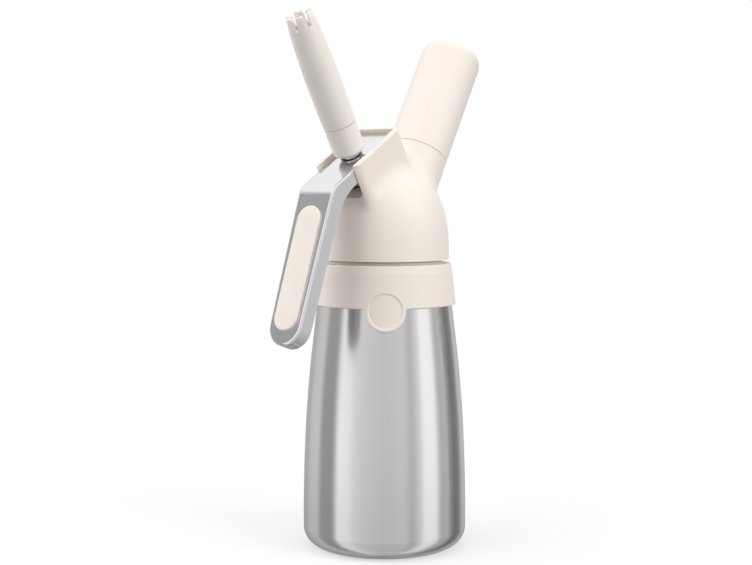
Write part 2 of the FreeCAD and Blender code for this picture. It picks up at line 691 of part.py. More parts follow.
def biarc(start, start_tangent, end, end_tangent):
    """Two arcs that join two points with given unit tangents."""
    span = end - start
    total = start_tangent + end_tangent
    share = 1 - start_tangent.dot(end_tangent)
    along = span.dot(total)
    reach = (-along + math.sqrt(along ** 2 + 2 * share * span.dot(span))) / (2 * share)
    first = start + start_tangent * reach
    second = end - end_tangent * reach
    joint = (first + second) * 0.5
    arcs = []
    for low, corner, high in ((start, first, joint), (joint, second, end)):
        chord = high - low
        middle = (low + high) * 0.5
        turn = (corner - low).getAngle(high - corner)
        lift = corner - middle
        lift.normalize()
        crest = middle + lift * (chord.Length / 2 * math.tan(turn / 4))
        arcs.append(Part.Arc(low, crest, high).toShape())
    return arcs


def valve_spring():
    """Coil spring between the guide's flange and the collar."""
    low = GUIDE_TOP + SPRING_WIRE / 2
    high = COLLAR_BOTTOM - SPRING_WIRE / 2
    climb = (high - low) / SPRING_TURNS
    steps = int(SPRING_TURNS * 4)
    slope = climb / (2 * math.pi * SPRING_RADIUS)

    def place(step):
        angle = step * math.pi / 2
        point = V(SPRING_RADIUS * math.cos(angle), SPRING_RADIUS * math.sin(angle), low + climb * step / 4)
        tangent = V(-math.sin(angle), math.cos(angle), slope)
        tangent.normalize()
        return point, tangent

    arcs = []
    for step in range(steps):
        start, start_tangent = place(step)
        end, end_tangent = place(step + 1)
        arcs += biarc(start, start_tangent, end, end_tangent)
    path = Part.Wire(arcs)
    start, tangent = place(0)
    section = Part.Wire([Part.Circle(start, tangent, SPRING_WIRE / 2).toShape()])
    coil = path.makePipeShell([section], True, False)
    print("valve_spring least gap between turns %.2f mm" % (climb - SPRING_WIRE))
    return nozzle_side(coil)


def tip_adapter():
    """Collar on the stem's thread, rounded below, with the spigot that carries the tip."""
    bore = STEM_RADIUS + RUNNING_FIT
    stop = STEM_TOP + STEM_END_PLAY
    groove = SPIGOT_RADIUS - SPIGOT_GROOVE
    groove_top = ADAPTER_TOP + O_RING + 2 * GROOVE_PLAY
    low_radius = ADAPTER_RADIUS - ADAPTER_TAPER
    body = turned([
        (bore, ADAPTER_BOTTOM), (low_radius, ADAPTER_BOTTOM), (ADAPTER_RADIUS, ADAPTER_TOP),
        (groove, ADAPTER_TOP), (groove, groove_top), (SPIGOT_RADIUS, groove_top),
        (SPIGOT_RADIUS, SPIGOT_TOP), (STEM_BORE, SPIGOT_TOP), (STEM_BORE, stop), (bore, stop),
    ])
    body = rounded(body, ADAPTER_ROUNDING, is_circle_at(ADAPTER_BOTTOM, low_radius))
    return nozzle_side(body)


def adapter_o_ring():
    """O-ring in the root of the adapter's spigot."""
    groove = SPIGOT_RADIUS - SPIGOT_GROOVE
    return nozzle_side(ring(groove + O_RING / 2, O_RING / 2, ADAPTER_TOP + GROOVE_PLAY + O_RING / 2))


def slot_cutter():
    """One radial slot of the crown: a round bottom, straight sides and a flared mouth."""
    half = SLOT_WIDTH / 2
    bottom = TIP_TOP - SLOT_DEPTH + half
    flare = TIP_TOP - PRONG_ROUNDING
    wide = half + PRONG_ROUNDING
    over = TIP_TOP + 1.0
    turn = math.pi / 4
    bulge = V(0, half + PRONG_ROUNDING * (1 - math.cos(turn)), flare + PRONG_ROUNDING * math.sin(turn))
    mirrored = V(0, -bulge.y, bulge.z)
    edges = [
        Part.Arc(V(0, -half, bottom), V(0, 0, bottom - half), V(0, half, bottom)).toShape(),
        Part.makeLine(V(0, half, bottom), V(0, half, flare)),
        Part.Arc(V(0, half, flare), bulge, V(0, wide, TIP_TOP)).toShape(),
        Part.makeLine(V(0, wide, TIP_TOP), V(0, wide, over)),
        Part.makeLine(V(0, wide, over), V(0, -wide, over)),
        Part.makeLine(V(0, -wide, over), V(0, -wide, TIP_TOP)),
        Part.Arc(V(0, -wide, TIP_TOP), mirrored, V(0, -half, flare)).toShape(),
        Part.makeLine(V(0, -half, flare), V(0, -half, bottom)),
    ]
    return Part.Face(Part.Wire(edges)).extrude(V(TIP_BELLY_RADIUS * 2, 0, 0))


def decorating_tip():
    """Long tapered tip whose end is cut into a crown of rounded prongs."""
    seat = ADAPTER_TOP + O_RING + TIP_SEAT_LIFT
    outside = Part.BSplineCurve()
    outside.interpolate([
        V(ADAPTER_RADIUS, 0, TIP_BOTTOM),
        V(TIP_BELLY_RADIUS, 0, TIP_BOTTOM + TIP_LENGTH * 0.35),
        V(TIP_BELLY_RADIUS - 0.3, 0, TIP_BOTTOM + TIP_LENGTH * 0.6),
        V(TIP_CROWN_RADIUS, 0, TIP_TOP - TIP_EDGE),
    ])
    seat_radius = SPIGOT_RADIUS - SPIGOT_GROOVE + O_RING + TIP_SEAT_PLAY
    thread = SPIGOT_RADIUS + TIP_PLAY
    mouth_edge = TIP_EDGE / 2
    face = Part.Face(Part.Wire([
        outside.toShape(),
        line(TIP_CROWN_RADIUS, TIP_TOP - TIP_EDGE, TIP_CROWN_RADIUS - TIP_EDGE, TIP_TOP),
        line(TIP_CROWN_RADIUS - TIP_EDGE, TIP_TOP, TIP_MOUTH_BORE + mouth_edge, TIP_TOP),
        line(TIP_MOUTH_BORE + mouth_edge, TIP_TOP, TIP_MOUTH_BORE, TIP_TOP - mouth_edge),
        line(TIP_MOUTH_BORE, TIP_TOP - mouth_edge, TIP_MOUTH_BORE, TIP_TOP - SLOT_DEPTH),
        line(TIP_MOUTH_BORE, TIP_TOP - SLOT_DEPTH, TIP_BORE, TIP_BOTTOM + TIP_LENGTH * 0.5),
        line(TIP_BORE, TIP_BOTTOM + TIP_LENGTH * 0.5, thread, SPIGOT_TOP),
        line(thread, SPIGOT_TOP, thread, seat),
        line(thread, seat, seat_radius, seat),
        line(seat_radius, seat, seat_radius, TIP_BOTTOM),
        line(seat_radius, TIP_BOTTOM, ADAPTER_RADIUS, TIP_BOTTOM),
    ]))
    body = face.revolve(V(0, 0, 0), V(0, 0, 1), 360)
    cutters = []
    for step in range(PRONGS):
        cutter = slot_cutter()
        cutter.rotate(V(0, 0, 0), V(0, 0, 1), 360.0 * (step + 0.5) / PRONGS)
        cutters.append(cutter)
    return nozzle_side(body.cut(cutters))


def charger_port():
    """Threaded nipple in the holder boss, bored for the charger's neck."""
    shoulder = CHARGER_BOTTOM + CHARGER_NECK_LENGTH
    seat = CHARGER_BOTTOM - SEAL_CUSHION
    hole = NEEDLE_RADIUS
    return holder_side(turned([
        (hole, PORT_BOTTOM), (HOLDER_THREAD_RADIUS, PORT_BOTTOM), (HOLDER_THREAD_RADIUS, PORT_TOP),
        (CHARGER_BORE, PORT_TOP), (CHARGER_BORE, shoulder), (NECK_BORE, shoulder), (NECK_BORE, seat),
        (hole, seat),
    ]))


def piercing_pin():
    """Hollow needle that stands in the port and reaches into the charger's cap."""
    tip = CHARGER_BOTTOM + NEEDLE_REACH
    return holder_side(turned([
        (NEEDLE_BORE, PORT_BOTTOM), (NEEDLE_RADIUS, PORT_BOTTOM), (NEEDLE_RADIUS, tip - NEEDLE_POINT),
        (NEEDLE_BORE + 0.1, tip), (NEEDLE_BORE, tip),
    ]))


def piercing_seal():
    """Rubber seat around the needle, under the charger's neck."""
    inner = NEEDLE_RADIUS + NEEDLE_PLAY
    return holder_side(tube(NECK_BORE, inner, CHARGER_BOTTOM - SEAL_CUSHION, CHARGER_BOTTOM))


def check_valve():
    """One-way rubber sleeve below the port."""
    return holder_side(tube(CHECK_RADIUS, CHECK_BORE, PORT_BOTTOM - CHECK_LENGTH, PORT_BOTTOM))


def charger():
    """Gas charger: domed steel cartridge with its neck down, pierced by the needle."""
    neck_top = CHARGER_BOTTOM + CHARGER_NECK_LENGTH
    body_start = neck_top + CHARGER_SHOULDER
    well = NEEDLE_RADIUS + NEEDLE_PLAY
    well_end = CHARGER_BOTTOM + NEEDLE_REACH + WELL_PLAY
    body_end = CHARGER_TOP - CHARGER_RADIUS
    shoulder = Part.BSplineCurve()
    shoulder.interpolate(Points=[V(CHARGER_NECK_RADIUS, 0, neck_top), V(CHARGER_RADIUS, 0, body_start)],
                         InitialTangent=V(1, 0, 0.6), FinalTangent=V(0, 0, 1))
    face = Part.Face(Part.Wire([
        line(0, well_end, well, well_end),
        line(well, well_end, well, CHARGER_BOTTOM),
        line(well, CHARGER_BOTTOM, CHARGER_NECK_RADIUS, CHARGER_BOTTOM),
        line(CHARGER_NECK_RADIUS, CHARGER_BOTTOM, CHARGER_NECK_RADIUS, neck_top),
        shoulder.toShape(),
        line(CHARGER_RADIUS, body_start, CHARGER_RADIUS, body_end),
        quarter(0, body_end, CHARGER_RADIUS, 0, 90),
        line(0, CHARGER_TOP, 0, well_end),
    ]))
    return holder_side(face.revolve(V(0, 0, 0), V(0, 0, 1), 360))


def holder_liner():
    """Metal sleeve with the holder's thread and the charger's bore."""
    bottom = HOLDER_SEAM + SEAM_PLAY
    thread_end = PORT_TOP + THREAD_END_PLAY
    return holder_side(turned([
        (LINER_BORE, bottom), (LINER_RADIUS, bottom), (LINER_RADIUS, LINER_TOP), (0, LINER_TOP),
        (0, CHARGER_TOP), (CHARGER_BORE, CHARGER_TOP), (CHARGER_BORE, thread_end),
        (LINER_BORE, thread_end),
    ]))


def holder_cover():
    """Moulded outside of the charger holder, with a soft crowned end."""
    bottom = HOLDER_SEAM + SEAM_PLAY
    flat = HOLDER_RADIUS - HOLDER_ROUNDING
    dome_centre = HOLDER_TOP - HOLDER_CROWN_RADIUS
    reach = HOLDER_CROWN_RADIUS - HOLDER_ROUNDING
    corner = dome_centre + math.sqrt(reach ** 2 - flat ** 2)
    meet = math.degrees(math.acos(flat / reach))
    face = Part.Face(Part.Wire([
        line(LINER_RADIUS, bottom, HOLDER_RADIUS, bottom),
        line(HOLDER_RADIUS, bottom, HOLDER_RADIUS, corner),
        quarter(flat, corner, HOLDER_ROUNDING, 0, meet),
        quarter(0, dome_centre, HOLDER_CROWN_RADIUS, meet, 90),
        line(0, HOLDER_TOP, 0, LINER_TOP),
        line(0, LINER_TOP, LINER_RADIUS, LINER_TOP),
        line(LINER_RADIUS, LINER_TOP, LINER_RADIUS, bottom),
    ]))
    return holder_side(face.revolve(V(0, 0, 0), V(0, 0, 1), 360))


NODES = {
    "bottle_shell": bottle_shell,
    "neck_ring": neck_ring,
    "silicone_band": silicone_band,
    "head_gasket": head_gasket,
    "head_housing": head_housing,
    "head_thread_ring": head_thread_ring,
    "valve_guide": valve_guide,
    "stem_o_ring": stem_o_ring,
    "charger_port": charger_port,
    "piercing_pin": piercing_pin,
    "piercing_seal": piercing_seal,
    "check_valve": check_valve,
    "lever_pin": lever_pin,
    "lever": lever,
    "lever_pad": lever_pad,
    "valve_stem": valve_stem,
    "valve_seal": valve_seal,
    "valve_spring": valve_spring,
    "tip_adapter": tip_adapter,
    "adapter_o_ring": adapter_o_ring,
    "decorating_tip": decorating_tip,
    "charger": charger,
    "holder_liner": holder_liner,
    "holder_cover": holder_cover,
}

os.makedirs("parts", exist_ok=True)
for name, build in NODES.items():
    shape = build()
    box = shape.BoundBox
    print("%-18s solids %d valid %s volume %9.1f z %.1f..%.1f"
          % (name, len(shape.Solids), shape.isValid(), shape.Volume, box.ZMin, box.ZMax))
    shape.exportStep("parts/%s.step" % name)
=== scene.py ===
"""Looks of the whipped cream dispenser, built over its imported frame. Metres, +Z up."""

import math

import bmesh
import bpy
from mathutils import Matrix, Vector
from mathutils.bvhtree import BVHTree


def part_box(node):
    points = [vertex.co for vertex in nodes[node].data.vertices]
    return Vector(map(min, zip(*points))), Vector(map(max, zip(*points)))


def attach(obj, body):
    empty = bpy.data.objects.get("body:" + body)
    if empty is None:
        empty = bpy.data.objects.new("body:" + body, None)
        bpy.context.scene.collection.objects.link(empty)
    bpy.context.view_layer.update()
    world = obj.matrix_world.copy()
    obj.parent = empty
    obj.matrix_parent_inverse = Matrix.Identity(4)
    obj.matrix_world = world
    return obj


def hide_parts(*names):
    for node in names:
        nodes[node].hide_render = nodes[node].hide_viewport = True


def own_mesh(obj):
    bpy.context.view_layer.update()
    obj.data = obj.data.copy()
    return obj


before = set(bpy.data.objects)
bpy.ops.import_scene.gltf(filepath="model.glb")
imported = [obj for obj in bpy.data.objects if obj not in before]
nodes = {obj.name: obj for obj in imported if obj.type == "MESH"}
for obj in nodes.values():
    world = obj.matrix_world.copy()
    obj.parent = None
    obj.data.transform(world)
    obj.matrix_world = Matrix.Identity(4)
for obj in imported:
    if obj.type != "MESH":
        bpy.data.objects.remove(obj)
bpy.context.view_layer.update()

# Bottle: a deep-drawn stainless steel cup with a narrower threaded mouth. Its outside is brushed
# round and round on a lathe, so lamps show as tall upright bands with soft edges.


def linear(hex_colour):
    """The linear RGBA of an sRGB hex colour."""
    channels = [int(hex_colour[place:place + 2], 16) / 255 for place in (1, 3, 5)]
    return [c / 12.92 if c <= 0.04045 else ((c + 0.055) / 1.055) ** 2.4 for c in channels] + [1.0]


def add(tree, kind, inputs=None, **settings):
    """Adds a shader node with its settings, and its inputs, by name or number, as constants or links."""
    made = tree.nodes.new("ShaderNode" + kind)
    for name, value in settings.items():
        setattr(made, name, value)
    for name, value in (inputs or {}).items():
        if isinstance(value, bpy.types.NodeSocket):
            tree.links.new(value, made.inputs[name])
        else:
            made.inputs[name].default_value = value
    return made


def new_material(name):
    """An empty node material and its tree."""
    made = bpy.data.materials.new(name)
    made.use_nodes = True
    made.node_tree.nodes.clear()
    return made, made.node_tree


def pattern(tree, scale, **inputs):
    """Noise on the piece's own coordinates, stretched by a scale of three, per metre."""
    place = add(tree, "TexCoord")
    turned = add(tree, "Mapping", {"Vector": place.outputs["Object"], "Scale": scale})
    return add(tree, "TexNoise", {"Vector": turned.outputs["Vector"], "Scale": 1.0, **inputs})


def spread(tree, source, low, high):
    """The same noise, from 0.3 to 0.7, laid out between two values."""
    made = add(tree, "MapRange", {"Value": source, "From Min": 0.3, "From Max": 0.7,
                                  "To Min": low, "To Max": high})
    return made.outputs["Result"]


def dress(made, *names):
    """Gives CAD nodes a material."""
    for name in names:
        nodes[name].data.materials.clear()
        nodes[name].data.materials.append(made)


# Lathe-brushed 304 stainless steel: the grit leaves rings about 0.15 mm apart, drawn at 0.6 mm
# so that they show. They blur a reflection upwards and leave its sides nearly sharp.
BRUSH_RING = 0.0006
brushed_steel, tree = new_material("brushed stainless steel")
rings = pattern(tree, (8.0, 8.0, 1 / BRUSH_RING), Detail=2.0, Roughness=0.6)
handling = pattern(tree, (25.0, 25.0, 12.0), Detail=3.0)
groove = add(tree, "Bump", {"Height": rings.outputs["Fac"], "Strength": 0.12, "Distance": 0.00002})
turn_round = add(tree, "Tangent", direction_type="RADIAL", axis="Z")
shader = add(tree, "BsdfPrincipled", {
    "Base Color": linear("#D2CFD0"), "Metallic": 1.0,
    "Roughness": spread(tree, handling.outputs["Fac"], 0.19, 0.26),
    "Anisotropic": 0.65, "Anisotropic Rotation": 0.25, "Normal": groove.outputs["Normal"],
    "Tangent": turn_round.outputs["Tangent"]})
add(tree, "OutputMaterial", {"Surface": shader.outputs["BSDF"]})
dress(brushed_steel, "bottle_shell")

# Thread rings: turned aluminium, one brazed on the neck and the others pressed into the head and
# the charger holder. The tool leaves fine bright rings.
TURNING_PITCH = 0.0004
turned_metal, tree = new_material("turned aluminium")
marks = pattern(tree, (3.0, 3.0, 1 / TURNING_PITCH), Detail=1.0)
groove = add(tree, "Bump", {"Height": marks.outputs["Fac"], "Strength": 0.3, "Distance": 0.00003})
shader = add(tree, "BsdfPrincipled", {
    "Base Color": linear("#D9D9DA"), "Metallic": 1.0,
    "Roughness": spread(tree, marks.outputs["Fac"], 0.26, 0.4),
    "Normal": groove.outputs["Normal"]})
add(tree, "OutputMaterial", {"Surface": shader.outputs["BSDF"]})
dress(turned_metal, "neck_ring", "head_thread_ring", "holder_liner")

# Sleeve: one piece of cream silicone, stretched over the shoulder of the bottle, with a lip and a
# collar on top and a round tab that hangs over its lower edge. The tab's face is sunk and bare.
SLEEVE_BOTTOM = 0.1254
SLEEVE_WALL = 0.0019
SLEEVE_SHOULDER = 0.1425
SLEEVE_TOP = 0.1467
SLEEVE_TOP_RADIUS = 0.03405
COLLAR_RADIUS = 0.0296
COLLAR_BORE = 0.0272
COLLAR_TOP = 0.1484
LEDGE = 0.1455
LEDGE_MARGIN = 0.00001
SLEEVE_EDGE = 0.0005
TAB_RADIUS = 0.0104
TAB_HEIGHT = 0.1246
TAB_AZIMUTH = math.radians(219.0)
TAB_FILLET = 0.0026
TAB_FACE_RADIUS = 0.0089
TAB_FACE_DEPTH = 0.0005
TAB_FACE_STEP = 0.0006
TAB_COLUMNS = 96
FILLET_COLUMNS = 24
SLEEVE_COLUMNS = 360
SLEEVE_ROWS = 200
SIDE_START = 0.06
SIDE_END = 0.66
SLEEVE_ZONES = (("lower edge", SIDE_START), ("side", SIDE_END), ("upper edge", 0.69), ("lip", 0.71),
                ("collar side", 0.72), ("collar top", 0.73), ("collar bore", 0.74), ("ledge", 0.76),
                ("inside", 1.0))
RAY_START = 0.2
SAME_PLACE = 1e-6

bottle_tree = BVHTree.FromObject(nodes["bottle_shell"], bpy.context.evaluated_depsgraph_get())


def bottle_radius(height):
    """Outside radius of the bottle at a height, measured on the frame."""
    return bottle_tree.ray_cast(Vector((RAY_START, 0, height)), Vector((-1, 0, 0)))[0].x


def lower_edge(along):
    """Height of the sleeve's lower edge at a distance round from the tab's middle."""
    reach = abs(along)
    if reach < TAB_RADIUS:
        return TAB_HEIGHT - math.sqrt(TAB_RADIUS ** 2 - reach ** 2)
    past = min(1.0, (reach - TAB_RADIUS) / TAB_FILLET)
    return SLEEVE_BOTTOM - (SLEEVE_BOTTOM - TAB_HEIGHT) * (1 - math.sqrt(1 - (1 - past) ** 2))


def sleeve_radius(height):
    """Outside radius of the sleeve at a height."""
    if height <= SLEEVE_SHOULDER:
        return bottle_radius(height) + SLEEVE_WALL
    start = bottle_radius(SLEEVE_SHOULDER) + SLEEVE_WALL
    share = (height - SLEEVE_SHOULDER) / (SLEEVE_TOP - SLEEVE_SHOULDER)
    return start + share * (SLEEVE_TOP_RADIUS - start)


def sleeve_section(share, bottom):
    """Radius and height at a share of the way round the section, from the lower edge up the outside,
    over the lip and the collar, and down along the bottle's skin."""
    start = 0.0
    for zone, end in SLEEVE_ZONES:
        if share <= end + 1e-9:
            break
        start = end
    part = (share - start) / (end - start)
    edge = SLEEVE_EDGE
    if zone == "lower edge":
        turn = math.pi / 2 * part
        drawn_in = (SLEEVE_WALL - edge) * (1 - part) ** 2
        radius = sleeve_radius(bottom + edge) - edge - drawn_in + edge * math.sin(turn) * part
        return radius, bottom + edge * (1 - math.cos(turn))
    if zone == "side":
        height = bottom + edge + part * (SLEEVE_TOP - bottom - 2 * edge)
        return sleeve_radius(height), height
    radius = sleeve_radius(SLEEVE_TOP - edge)
    if zone == "upper edge":
        turn = math.pi / 2 * part
        return radius - edge * (1 - math.cos(turn)), SLEEVE_TOP - edge * (1 - math.sin(turn))
    if zone == "lip":
        return radius - edge + part * (COLLAR_RADIUS - radius + edge), SLEEVE_TOP
    if zone == "collar side":
        return COLLAR_RADIUS, SLEEVE_TOP + part * (COLLAR_TOP - SLEEVE_TOP)
    if zone == "collar top":
        return COLLAR_RADIUS + part * (COLLAR_BORE - COLLAR_RADIUS), COLLAR_TOP
    if zone == "collar bore":
        return COLLAR_BORE, COLLAR_TOP + part * (LEDGE - COLLAR_TOP)
    ledge_side = LEDGE - LEDGE_MARGIN
    if zone == "ledge":
        return COLLAR_BORE + part * (bottle_radius(ledge_side) - COLLAR_BORE), LEDGE
    height = LEDGE - (LEDGE - bottom) * part ** 1.5
    return bottle_radius(min(height + edge * part, ledge_side)), height


def smooth_step(share):
    """Rises from 0 to 1 with level ends."""
    held = min(1.0, max(0.0, share))
    return held * held * (3 - 2 * held)


def from_mesh(name, shape):
    """An object made from a bmesh, smooth all over."""
    mesh = bpy.data.meshes.new(name)
    for face in shape.faces:
        face.smooth = True
    shape.to_mesh(mesh)
    shape.free()
    made = bpy.data.objects.new(name, mesh)
    bpy.context.scene.collection.objects.link(made)
    return made


girth = 2 * math.pi * sleeve_radius(TAB_HEIGHT)
shape = bmesh.new()
bmesh.ops.create_grid(shape, x_segments=SLEEVE_COLUMNS, y_segments=SLEEVE_ROWS, size=1.0)
half_tab = TAB_COLUMNS / SLEEVE_COLUMNS
half_fillet = half_tab + FILLET_COLUMNS / SLEEVE_COLUMNS
for vertex in shape.verts:
    side, share = vertex.co.x, (vertex.co.y + 1) / 2
    reach = abs(side)
    if reach <= half_tab:
        along = TAB_RADIUS * math.sin(math.pi / 2 * reach / half_tab)
    elif reach <= half_fillet:
        along = TAB_RADIUS + TAB_FILLET * ((reach - half_tab) / (half_fillet - half_tab)) ** 2
    else:
        start = TAB_RADIUS + TAB_FILLET
        along = start + (girth / 2 - start) * (reach - half_fillet) / (1 - half_fillet)
    along = math.copysign(along, side)
    radius, height = sleeve_section(share, lower_edge(along))
    turn = TAB_AZIMUTH + 2 * math.pi * along / girth
    if SIDE_START <= share <= SIDE_END:
        from_middle = math.hypot(along * radius / sleeve_radius(TAB_HEIGHT), height - TAB_HEIGHT)
        radius -= TAB_FACE_DEPTH * smooth_step((TAB_FACE_RADIUS - from_middle) / TAB_FACE_STEP)
    vertex.co = Vector((radius * math.cos(turn), radius * math.sin(turn), height))
bmesh.ops.remove_doubles(shape, verts=shape.verts[:], dist=SAME_PLACE)
bmesh.ops.recalc_face_normals(shape, faces=shape.faces[:])
sleeve = from_mesh("silicone_sleeve", shape)
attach(sleeve, "bottle")
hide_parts("silicone_band")

# Liquid silicone rubber, moulded: a dense matt skin with a faint sheen, and a grain of about
# 0.25 mm from the mould, drawn at 0.5 mm.
SILICONE_GRAIN = 0.0005


def silicone(name, colour, deeper):
    """Moulded silicone between two near colours."""
    made, tree = new_material(name)
    grain = pattern(tree, (1 / SILICONE_GRAIN,) * 3, Detail=2.0)
    clouds = pattern(tree, (60.0, 60.0, 60.0), Detail=2.0)
    share = spread(tree, clouds.outputs["Fac"], 0.0, 1.0)
    tint = add(tree, "Mix", {"Factor": share, 6: linear(colour), 7: linear(deeper)}, data_type="RGBA")
    skin = add(tree, "Bump", {"Height": grain.outputs["Fac"], "Strength": 0.1, "Distance": 0.00003})
    shader = add(tree, "BsdfPrincipled", {
        "Base Color": tint.outputs[2], "IOR": 1.41,
        "Roughness": spread(tree, grain.outputs["Fac"], 0.42, 0.52),
        "Subsurface Weight": 0.08, "Subsurface Radius": (0.002, 0.0013, 0.0008),
        "Subsurface Scale": 1.0, "Sheen Weight": 0.06, "Normal": skin.outputs["Normal"]})
    add(tree, "OutputMaterial", {"Surface": shader.outputs["BSDF"]})
    return made


sleeve.data.materials.append(silicone("cream silicone", "#F0E7DF", "#EEE4DB"))

# Head: one thick moulding of cream ABS with the skirt, the two bosses and the lever's recess.
# The holder's cover and the two nozzle pieces are moulded in the same plastic, satin all over.
ABS_GRAIN = 0.0004


def moulded_plastic(name, colour, deeper, gloss):
    """Satin moulded ABS: even colour, and the fine spark grain of the mould."""
    made, tree = new_material(name)
    grain = pattern(tree, (1 / ABS_GRAIN,) * 3, Detail=2.0, Roughness=0.55)
    clouds = pattern(tree, (40.0, 40.0, 40.0), Detail=2.0)
    share = spread(tree, clouds.outputs["Fac"], 0.0, 1.0)
    tint = add(tree, "Mix", {"Factor": share, 6: linear(colour), 7: linear(deeper)}, data_type="RGBA")
    skin = add(tree, "Bump", {"Height": grain.outputs["Fac"], "Strength": 0.08, "Distance": 0.00002})
    shader = add(tree, "BsdfPrincipled", {
        "Base Color": tint.outputs[2], "IOR": 1.53,
        "Roughness": spread(tree, grain.outputs["Fac"], gloss - 0.03, gloss + 0.04),
        "Subsurface Weight": 0.05, "Subsurface Radius": (0.0015, 0.001, 0.0006),
        "Subsurface Scale": 1.0, "Normal": skin.outputs["Normal"]})
    add(tree, "OutputMaterial", {"Surface": shader.outputs["BSDF"]})
    return made


dress(moulded_plastic("cream ABS", "#F3EAE1", "#F1E7DD", 0.36), "head_housing", "holder_cover")
nozzle_plastic = moulded_plastic("nozzle ABS", "#F6F0E9", "#F3ECE4", 0.42)
dress(nozzle_plastic, "tip_adapter")

# Decorating tip: a long moulded tube, slightly bellied, that slides over the adapter. Three bars
# across its mouth cut six slots with round bottoms and flared tops, and leave a crown of prongs.
NOZZLE_LEAN = math.radians(30.5)
NOZZLE_FOOT = Vector((0, 0, 0.156))
TIP_BOTTOM = 0.0706
TIP_TOP = 0.1295
TIP_EDGE = 0.0007
TIP_EDGE_SHARE = 0.3
TIP_OUTSIDE = ((0.0706, 0.0082), (0.09125, 0.0085), (0.106, 0.0082), (0.1288, 0.0067))
TIP_MOUTH = 0.0049
TIP_THROAT = 0.0064
TIP_THROAT_TOP = 0.1001
TIP_THREAD = 0.0063
TIP_SEAT = 0.00735
TIP_SEAT_TOP = 0.0732
TIP_COLUMNS = 120
TIP_ROWS = 24
SLOT_HALF = 0.00095
SLOT_TOP_HALF = 0.00135
SLOT_DEPTH = 0.0066
SLOT_FLARE = 0.0011
FLARE_TURN = math.radians(60)
FLARE_DROP = 0.75
SLOT_TURN = math.radians(12.5)
SLOT_BOTTOM_STEPS = 12
SLOT_FLARE_STEPS = 6
CUTTER_LENGTH = 0.04
PRONG_SOFTNESS = 0.00022


def tip_radius(height):
    """Outside radius of the tip at a height on the nozzle's axis, a smooth curve through TIP_OUTSIDE."""
    total = 0.0
    for here, radius in TIP_OUTSIDE:
        weight = 1.0
        for other, _ in TIP_OUTSIDE:
            if other != here:
                weight *= (height - other) / (here - other)
        total += weight * radius
    return total


def slot_outline():
    """A slot seen along its length: a round bottom, flaring sides, and a lid above the tip."""
    bottom = []
    for step in range(SLOT_BOTTOM_STEPS + 1):
        turn = math.pi + math.pi * step / SLOT_BOTTOM_STEPS
        bottom.append((SLOT_HALF * math.cos(turn), TIP_TOP - SLOT_DEPTH + SLOT_HALF * (1 + math.sin(turn))))
    flare = []
    for step in range(SLOT_FLARE_STEPS + 1):
        turn = FLARE_TURN * step / SLOT_FLARE_STEPS
        flare.append((SLOT_TOP_HALF + SLOT_FLARE * (1 - math.cos(turn)),
                      TIP_TOP + (math.sin(turn) - FLARE_DROP) * SLOT_FLARE))
    reach = flare[-1][0]
    lid = [(reach, TIP_TOP + SLOT_FLARE), (-reach, TIP_TOP + SLOT_FLARE)]
    return bottom + flare + lid + [(-across, height) for across, height in reversed(flare)]


outside = []
for step in range(TIP_ROWS + 1):
    height = TIP_BOTTOM + (TIP_TOP - TIP_EDGE - TIP_BOTTOM) * step / TIP_ROWS
    outside.append((tip_radius(height), height))
mouth = outside[-1][0]
rounding = TIP_EDGE * TIP_EDGE_SHARE
profile = outside + [
    (mouth - rounding, TIP_TOP - rounding), (mouth - TIP_EDGE, TIP_TOP),
    (TIP_MOUTH + TIP_EDGE, TIP_TOP), (TIP_MOUTH, TIP_TOP - TIP_EDGE), (TIP_MOUTH, TIP_TOP - SLOT_DEPTH),
    (TIP_THROAT, TIP_THROAT_TOP), (TIP_THREAD, TIP_SEAT_TOP), (TIP_SEAT, TIP_SEAT_TOP),
    (TIP_SEAT, TIP_BOTTOM)]
shape = bmesh.new()
ring_start = [shape.verts.new((radius, 0, height)) for radius, height in profile]
for first, second in zip(ring_start, ring_start[1:] + ring_start[:1]):
    shape.edges.new((first, second))
bmesh.ops.spin(shape, geom=shape.verts[:] + shape.edges[:], cent=(0, 0, 0), axis=(0, 0, 1),
               angle=2 * math.pi, steps=TIP_COLUMNS, use_merge=True, use_duplicate=False)
bmesh.ops.recalc_face_normals(shape, faces=shape.faces[:])
tip = from_mesh("crowned_tip", shape)

shape = bmesh.new()
for bar in range(3):
    corners = [shape.verts.new((-CUTTER_LENGTH / 2, across, height)) for across, height in slot_outline()]
    end_face = shape.faces.new(corners)
    grown = bmesh.ops.extrude_face_region(shape, geom=[end_face])
    moved = [item for item in grown["geom"] if isinstance(item, bmesh.types.BMVert)]
    bmesh.ops.translate(shape, vec=(CUTTER_LENGTH, 0, 0), verts=moved)
    turn = Matrix.Rotation(SLOT_TURN + math.pi / 3 * bar, 3, "Z")
    bmesh.ops.rotate(shape, cent=(0, 0, 0), matrix=turn, verts=corners + moved)
bmesh.ops.recalc_face_normals(shape, faces=shape.faces[:])
slots = from_mesh("slot_cutter", shape)
cut = tip.modifiers.new("slots", "BOOLEAN")
cut.object = slots
cut.operation = "DIFFERENCE"
cut.solver = "EXACT"
cut.use_self = True
tip.data = bpy.data.meshes.new_from_object(tip.evaluated_get(bpy.context.evaluated_depsgraph_get()))
tip.modifiers.clear()
bpy.data.objects.remove(slots)
nozzle_side = Matrix.Translation(NOZZLE_FOOT) @ Matrix.Rotation(-NOZZLE_LEAN, 4, "Y")
tip.data.transform(nozzle_side)
soften = tip.modifiers.new("softened corners", "BEVEL")
soften.width = PRONG_SOFTNESS
soften.segments = 3
soften.limit_method = "ANGLE"
soften.angle_limit = math.radians(35)
soften.harden_normals = True
tip.data.materials.clear()
tip.data.materials.append(nozzle_plastic)
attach(tip, "tip")
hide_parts("decorating_tip")

